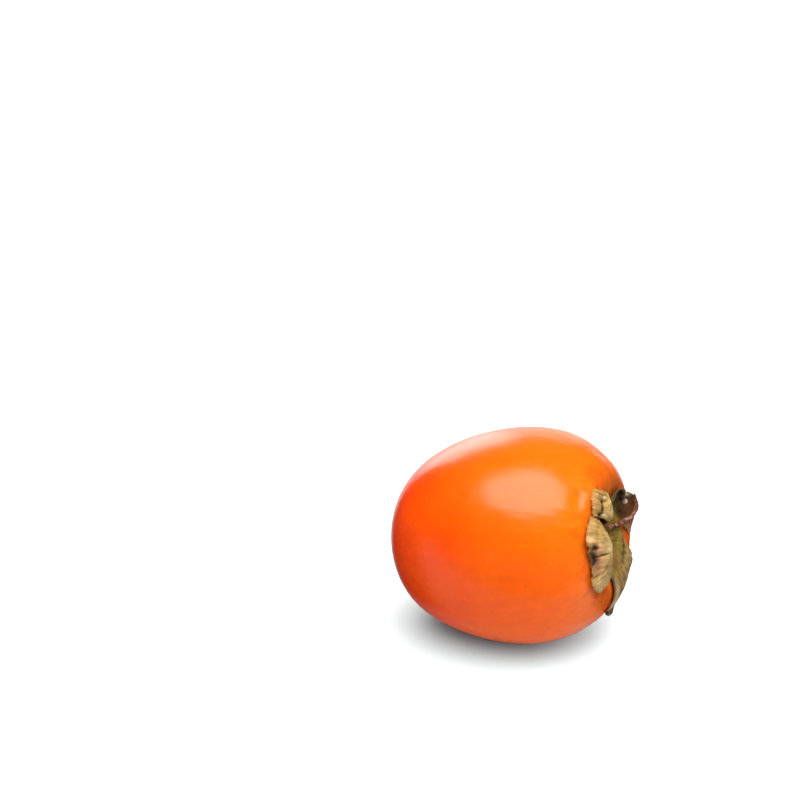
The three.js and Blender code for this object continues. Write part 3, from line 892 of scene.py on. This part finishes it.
# Tube round a path: its section is radius * (1 + 0.1 cos(ridges * a + 2 turn) + 0.1 |cos(a / 2 + turn / 2)|),
# roughened by noise and rounded off at both ends.
def buildRim(name, rim):
    t, angle = roundGrid(rim["rows"], rim["columns"])
    line = onFruit(*catmull(rim["path"], t[:, 0]).T)
    along = np.gradient(line, axis=0)
    along /= np.linalg.norm(along, axis=-1, keepdims=True)
    side = np.cross(along, np.array([1.0, 0.0, 0.0]))
    side /= np.linalg.norm(side, axis=-1, keepdims=True)
    up = np.cross(side, along)
    spoke = side[:, None] * np.cos(angle)[..., None] + up[:, None] * np.sin(angle)[..., None]
    turn = 2 * math.pi * rim["twist"] * t
    scroll = 1 + 0.10 * np.cos(rim["ridges"] * angle + turn * 2) + 0.10 * np.abs(np.cos(angle / 2 + turn / 2))
    ends = np.sqrt(np.clip(np.minimum(t, 1 - t) / 0.015, 0, 1))
    size = catmull(rim["radii"], t) * ends * scroll
    rough = 1 + 0.22 * noise(line[:, None] + size[..., None] * spoke, 1.6, rim["seed"], 3)
    rings = line[:, None] + (size * rough)[..., None] * spoke
    dark, middleTone, light = (tone(c) for c in rim["colours"])
    colour = blendTone(dark, middleTone, ease(noise(rings, 1.8, rim["seed"] + 1, 3), -0.5, 0.5))
    colour = blendTone(colour, light, ease(noise(rings, 1.1, rim["seed"] + 2), 0.1, 0.6))
    uv = np.stack([t * 3 + 0 * angle, angle / 6.283 + 0 * t], axis=-1)
    roundObject(name, rings, materials["brownRim"], uv=uv, colour=colour)


for name, rim in rims.items():
    buildRim(name, rim)


disc = {
    "top": [                    # [radius, s] from the middle of the top over the edge to the underside
        [0, 31.9], [3.2, 31.9], [5.2, 33.1], [8.0, 33.7], [9.6, 33.5],
        [10.2, 32.8], [9.4, 32.2], [5, 30.9], [0, 30.4],
    ],
    "lobed": 0.06, "wrinkle": 0.28, "wrinkleCount": 22, "uneven": 0.3, "seed": 51,
    "colours": ("7a5426", "96792f", "5f3a1c"),
    "rows": 120, "columns": 220,
}


# Thick middle of the calyx: the profile is turned round the core, its radius grows by
# lobed * cos(4a - 0.5) * share^2, and its top is wrinkled by wrinkle * (|sin(n a / 2 + wander)|^0.8 - 0.5).
def buildDisc():
    t, angle = roundGrid(disc["rows"], disc["columns"])
    radius, s = (column[:, None] for column in catmull(disc["top"], t[:, 0]).T)
    radius = np.maximum(radius, 0)
    share = radius / np.max(radius)
    outer = radius * (1 + disc["lobed"] * np.cos(4 * angle - 0.5) * share**2)
    points = aroundCore(s + 0 * angle, outer, angle)
    onTop = 1 - ease(t, 0.5, 0.62)
    folds = np.abs(np.sin(disc["wrinkleCount"] * angle / 2 + 1.4 * noise(points, 4.0, disc["seed"]))) ** 0.8
    rise = disc["wrinkle"] * (folds - 0.5) * ease(share, 0.2, 0.7) * onTop
    rise = rise + disc["uneven"] * noise(points, 2.6, disc["seed"] + 1, 3) * ease(share, 0.05, 0.3) * onTop
    points = aroundCore(s + rise, outer, angle)
    inner, outerTone, dark = (tone(c) for c in disc["colours"])
    colour = blendTone(inner, outerTone, ease(share + 0.25 * noise(points, 3.0, disc["seed"] + 2), 0.25, 0.6))
    # Painted shade: the dark tone is laid into the valleys of the wrinkles.
    colour = blendTone(colour, dark, 0.6 * (1 - folds) * ease(share, 0.2, 0.6))
    uv = np.stack([share + 0 * angle, angle / 2 + 0 * share], axis=-1)
    roundObject("calyx_middle", points, materials["calyxTissue"], ["calyx_disc"],
                uv=uv, colour=colour)


buildDisc()

stem = {
    "base": 31.4, "end": 33.3,      # places along the core
    "radius": 2.2, "flare": 3.1,
    "cutFrom": 0.55,                # share of the rows on its side; the rest closes its end
    "ragged": 0.6, "hollow": 0.5,   # height of the fibres at the end, depth of its middle
    "colours": ("6d5a48", "b89c82", "3f2b1d"),
    "rows": 70, "columns": 120, "seed": 61,
}


# Broken stalk: radius + (flare - radius)(1 - t)^4 with ribs 0.05 cos(9a), and a ragged, fibrous end.
def buildStem():
    t, angle = roundGrid(stem["rows"], stem["columns"])
    side = np.clip(t / stem["cutFrom"], 0, 1)
    cut = np.clip((t - stem["cutFrom"]) / (1 - stem["cutFrom"]), 0, 1)
    radius = stem["radius"] + (stem["flare"] - stem["radius"]) * (1 - side) ** 4
    radius = radius * (1 + 0.05 * np.cos(9 * angle) + 0.03 * np.cos(5 * angle + 1)) * (1 - cut)
    s = stem["base"] + (stem["end"] - stem["base"]) * side + 0 * angle
    points = aroundCore(s, radius, angle)
    fibres = noise(points * np.array([0.2, 1, 1]), 0.8, stem["seed"], 3)
    ragged = stem["ragged"] * fibres * ease(side, 0.6, 1)
    hollow = stem["hollow"] * ease(cut, 0.3, 0.9)
    radius = radius * (1 + 0.08 * noise(points, 1.0, stem["seed"] + 1, 2))
    points = aroundCore(s + ragged - hollow, radius, angle)
    bark, wood, dark = (tone(c) for c in stem["colours"])
    colour = blendTone(bark + 0 * points, wood, ease(cut + 0 * angle, 0.02, 0.15))
    colour = blendTone(colour, dark, 0.6 * ease(noise(points, 0.7, stem["seed"] + 2, 3), -0.1, 0.6))
    uv = np.stack([t * 1.5 + 0 * angle, angle / 3 + 0 * t], axis=-1)
    roundObject("stem_end", points, materials["cutStem"], ["stem_stub"], uv=uv, colour=colour)


buildStem()

style = {
    "radius": 1.4, "length": 1.9, "sunk": 0.5, "prongs": 4, "colour": "2c190e",
    "rows": 40, "columns": 64, "seed": 71,
}


# Dry remnant at the blossom end: radius * (1 - t)^0.7 * (1 + 0.35 t cos(prongs * a)), roughened by noise.
def buildStyle():
    t, angle = roundGrid(style["rows"], style["columns"])
    foot = outlineAt(np.array([0.0]))[0, 0] + style["sunk"]
    radius = style["radius"] * (1 - t) ** 0.7 * (1 + 0.35 * t * np.cos(style["prongs"] * angle))
    s = foot - (style["length"] + style["sunk"]) * t + 0 * angle
    rough = 1 + 0.2 * noise(aroundCore(s, radius, angle), 0.6, style["seed"], 2)
    points = aroundCore(s, radius * rough, angle)
    roundObject("blossom_remnant", points, materials["cutStem"], ["style_tip"],
                uv=np.zeros_like(points[..., :2]), colour=tone(style["colour"]) + 0 * points)


buildStyle()

studio = {
    "floorSize": 12.0,          # metres, as are all places and sizes here
    "floorBelow": 0.00005,      # the floor lies this far under the flat spot
    "floorTone": 0.07,          # share of the light that the floor gives back
    "floorRed": 0.97,           # share of it in red, which keeps the floor a trace cool
    "floorLight": {"from": (0.60, 0.0, 1.0), "strength": 88, "softness": 150},
    "aimAt": (0, 0, 0.035),
    "overhead": {
        "shape": "ELLIPSE", "at": (0.42, -0.68, 2.1), "size": (3.7, 2.8), "watts": 166,
        "turn": 12,             # degrees; it hangs level
    },
    "behindLeft": {"shape": "RECTANGLE", "at": (-0.85, 1.24, 0.38), "size": (0.60, 0.72), "watts": 2.0},
    "behindWide": {"shape": "RECTANGLE", "at": (-0.56, 1.39, 0.33), "size": (1.20, 0.60), "watts": 2.7},
    "underneath": {"shape": "RECTANGLE", "at": (0.25, -0.60, -1.1), "size": (1.2, 1.2), "watts": 9.0},
    "ambient": 0.02,
    "reflected": 0.52,          # share of the floor's light that reaches the fruit
    "viewAzimuth": 21.0,        # degrees; the lit part of the floor is laid out along the view
    "litTo": (60, 85),          # it fades out this far in front of the fruit, millimetres
    "stripFrom": (-30, -15),    # from here back it is only a strip behind the fruit
    "stripHalf": (25, 45),      #   that fades out this far to each side
    "stripWidens": 0.45,        #   and widens by this share of the way back
    "unlit": 0.02,
    "scattered": 0.60,          # the floor's brightness beyond that, for matt shading only
}


# The floor gives back little of any light and has a strong sun of its own, linked to it alone, so the fruit's
# colour hardly shows in the shadow. It is pale to the camera; to the fruit it is pale only near by, like a
# small table.
def floorMaterial():
    material, tree, shader = newMaterial("paleFloor")
    place = addNode(tree, "ShaderNodeTexCoord")
    turned = addNode(tree, "ShaderNodeMapping", {
        "Vector": place.outputs["Object"],
        "Scale": (1 / mm,) * 3,
        "Rotation": (0, 0, math.radians(-studio["viewAzimuth"])),
    })
    x, y = addNode(tree, "ShaderNodeSeparateXYZ", {0: turned.outputs[0]}).outputs[:2]
    near, far = studio["litTo"]
    inFront = mapRange(tree, y, -far, -near, 0, 1)
    spread = calculate(tree, "MULTIPLY", calculate(tree, "MAXIMUM", y, 0), studio["stripWidens"])
    sideways = calculate(tree, "SUBTRACT", calculate(tree, "ABSOLUTE", x), spread)
    strip = mapRange(tree, sideways, *studio["stripHalf"], 1, 0)
    allAcross = mapRange(tree, y, *studio["stripFrom"], 1, 0)
    lit = calculate(tree, "MULTIPLY", inFront, calculate(tree, "MAXIMUM", strip, allAcross))
    rays = addNode(tree, "ShaderNodeLightPath")
    soft = mapRange(tree, rays.outputs["Is Diffuse Ray"], 0, 1, 0, studio["scattered"])
    lit = calculate(tree, "MULTIPLY", calculate(tree, "MAXIMUM", lit, soft), studio["reflected"])
    share = calculate(tree, "MAXIMUM", lit, rays.outputs["Is Camera Ray"])
    dark = (studio["floorTone"] * studio["unlit"],) * 3 + (1,)
    pale = (studio["floorTone"] * studio["floorRed"], studio["floorTone"], studio["floorTone"], 1)
    setInputs(tree, shader, {
        "Base Color": mixColour(tree, "MIX", share, dark, pale),
        "Roughness": 0.9,
        "Specular IOR Level": 0.0,
    })
    return material


def placeLamp(name, light, at, towards=None):
    lamp = bpy.data.objects.new(name, light)
    lamp.location = at
    if towards is not None:
        lamp.rotation_euler = (Vector(towards) - Vector(at)).to_track_quat("-Z", "Y").to_euler()
    lamp.visible_camera = False
    bpy.context.scene.collection.objects.link(lamp)
    return lamp


def areaLight(name, settings, towards=None):
    light = bpy.data.lights.new(name, "AREA")
    light.shape = settings["shape"]
    light.size, light.size_y = settings["size"]
    light.energy = settings["watts"]
    return placeLamp(name, light, settings["at"], towards)


def buildStudio():
    half = studio["floorSize"] / 2
    corners = np.array([[-1, -1], [1, -1], [1, 1], [-1, 1]]) * half
    mesh = bpy.data.meshes.new("floor")
    mesh.from_pydata([(x, y, -studio["floorBelow"]) for x, y in corners.tolist()], [], [(0, 1, 2, 3)])
    mesh.materials.append(floorMaterial())
    floor = bpy.data.objects.new("floor", mesh)
    bpy.context.scene.collection.objects.link(floor)
    overhead = areaLight("overheadLight", studio["overhead"])
    overhead.rotation_euler.z = math.radians(studio["overhead"]["turn"])
    areaLight("behindLeft", studio["behindLeft"], studio["aimAt"])
    areaLight("behindWide", studio["behindWide"], studio["aimAt"])
    bounce = areaLight("bounceLight", studio["underneath"], studio["aimAt"])
    bounce.visible_glossy = False       # it only lifts the shade under the fruit
    fruitOnly = bpy.data.collections.new("fruitOnly")
    for piece in bpy.context.scene.objects:
        if piece.type == "MESH" and piece != floor:
            fruitOnly.objects.link(piece)
    bounce.light_linking.receiver_collection = fruitOnly
    bounce.light_linking.blocker_collection = fruitOnly     # the floor doesn't hold it back
    sun = bpy.data.lights.new("floorLight", "SUN")
    sun.energy = studio["floorLight"]["strength"]
    sun.angle = math.radians(studio["floorLight"]["softness"])
    lamp = placeLamp("floorLight", sun, studio["floorLight"]["from"], (0, 0, 0))
    floorOnly = bpy.data.collections.new("floorOnly")
    floorOnly.objects.link(floor)
    lamp.light_linking.receiver_collection = floorOnly
    world = bpy.data.worlds.new("studio")
    world.use_nodes = True
    tree = world.node_tree
    rays = addNode(tree, "ShaderNodeLightPath")
    strength = mapRange(tree, rays.outputs["Is Camera Ray"], 0, 1, studio["ambient"], 1.0)
    tree.links.new(strength, tree.nodes["Background"].inputs["Strength"])
    tree.nodes["Background"].inputs["Color"].default_value = (1, 1, 1, 1)
    bpy.context.scene.world = world
    print("studio ready")


buildStudio()

view = {
    "azimuth": 21.0, "elevation": 20.0,     # degrees
    "lens": 100.0,
    "distance": 0.758,                      # metres to the fruit's middle, along the view
    "aside": 0.0381,                        # the fruit is this far right of the view's middle
    "below": 0.0455,                        #   and this far under it
}


# Camera that looks along the azimuth and the elevation, moved sideways so that the fruit is off the middle.
def buildCamera():
    camera = bpy.data.cameras.new("camera")
    camera.lens = view["lens"]
    camera.sensor_width = 36
    camera.clip_start = 0.01
    camera.clip_end = 100
    eye = bpy.data.objects.new("camera", camera)
    turn = Euler((math.radians(90 - view["elevation"]), 0, math.radians(view["azimuth"])))
    offset = Vector((-view["aside"], view["below"], view["distance"]))
    eye.rotation_euler = turn
    eye.location = Vector(middle * mm) + turn.to_matrix() @ offset
    bpy.context.scene.collection.objects.link(eye)
    bpy.context.scene.camera = eye


buildCamera()
bpy.context.scene.view_settings.view_transform = "Standard"
bpy.context.scene.view_settings.look = "None"
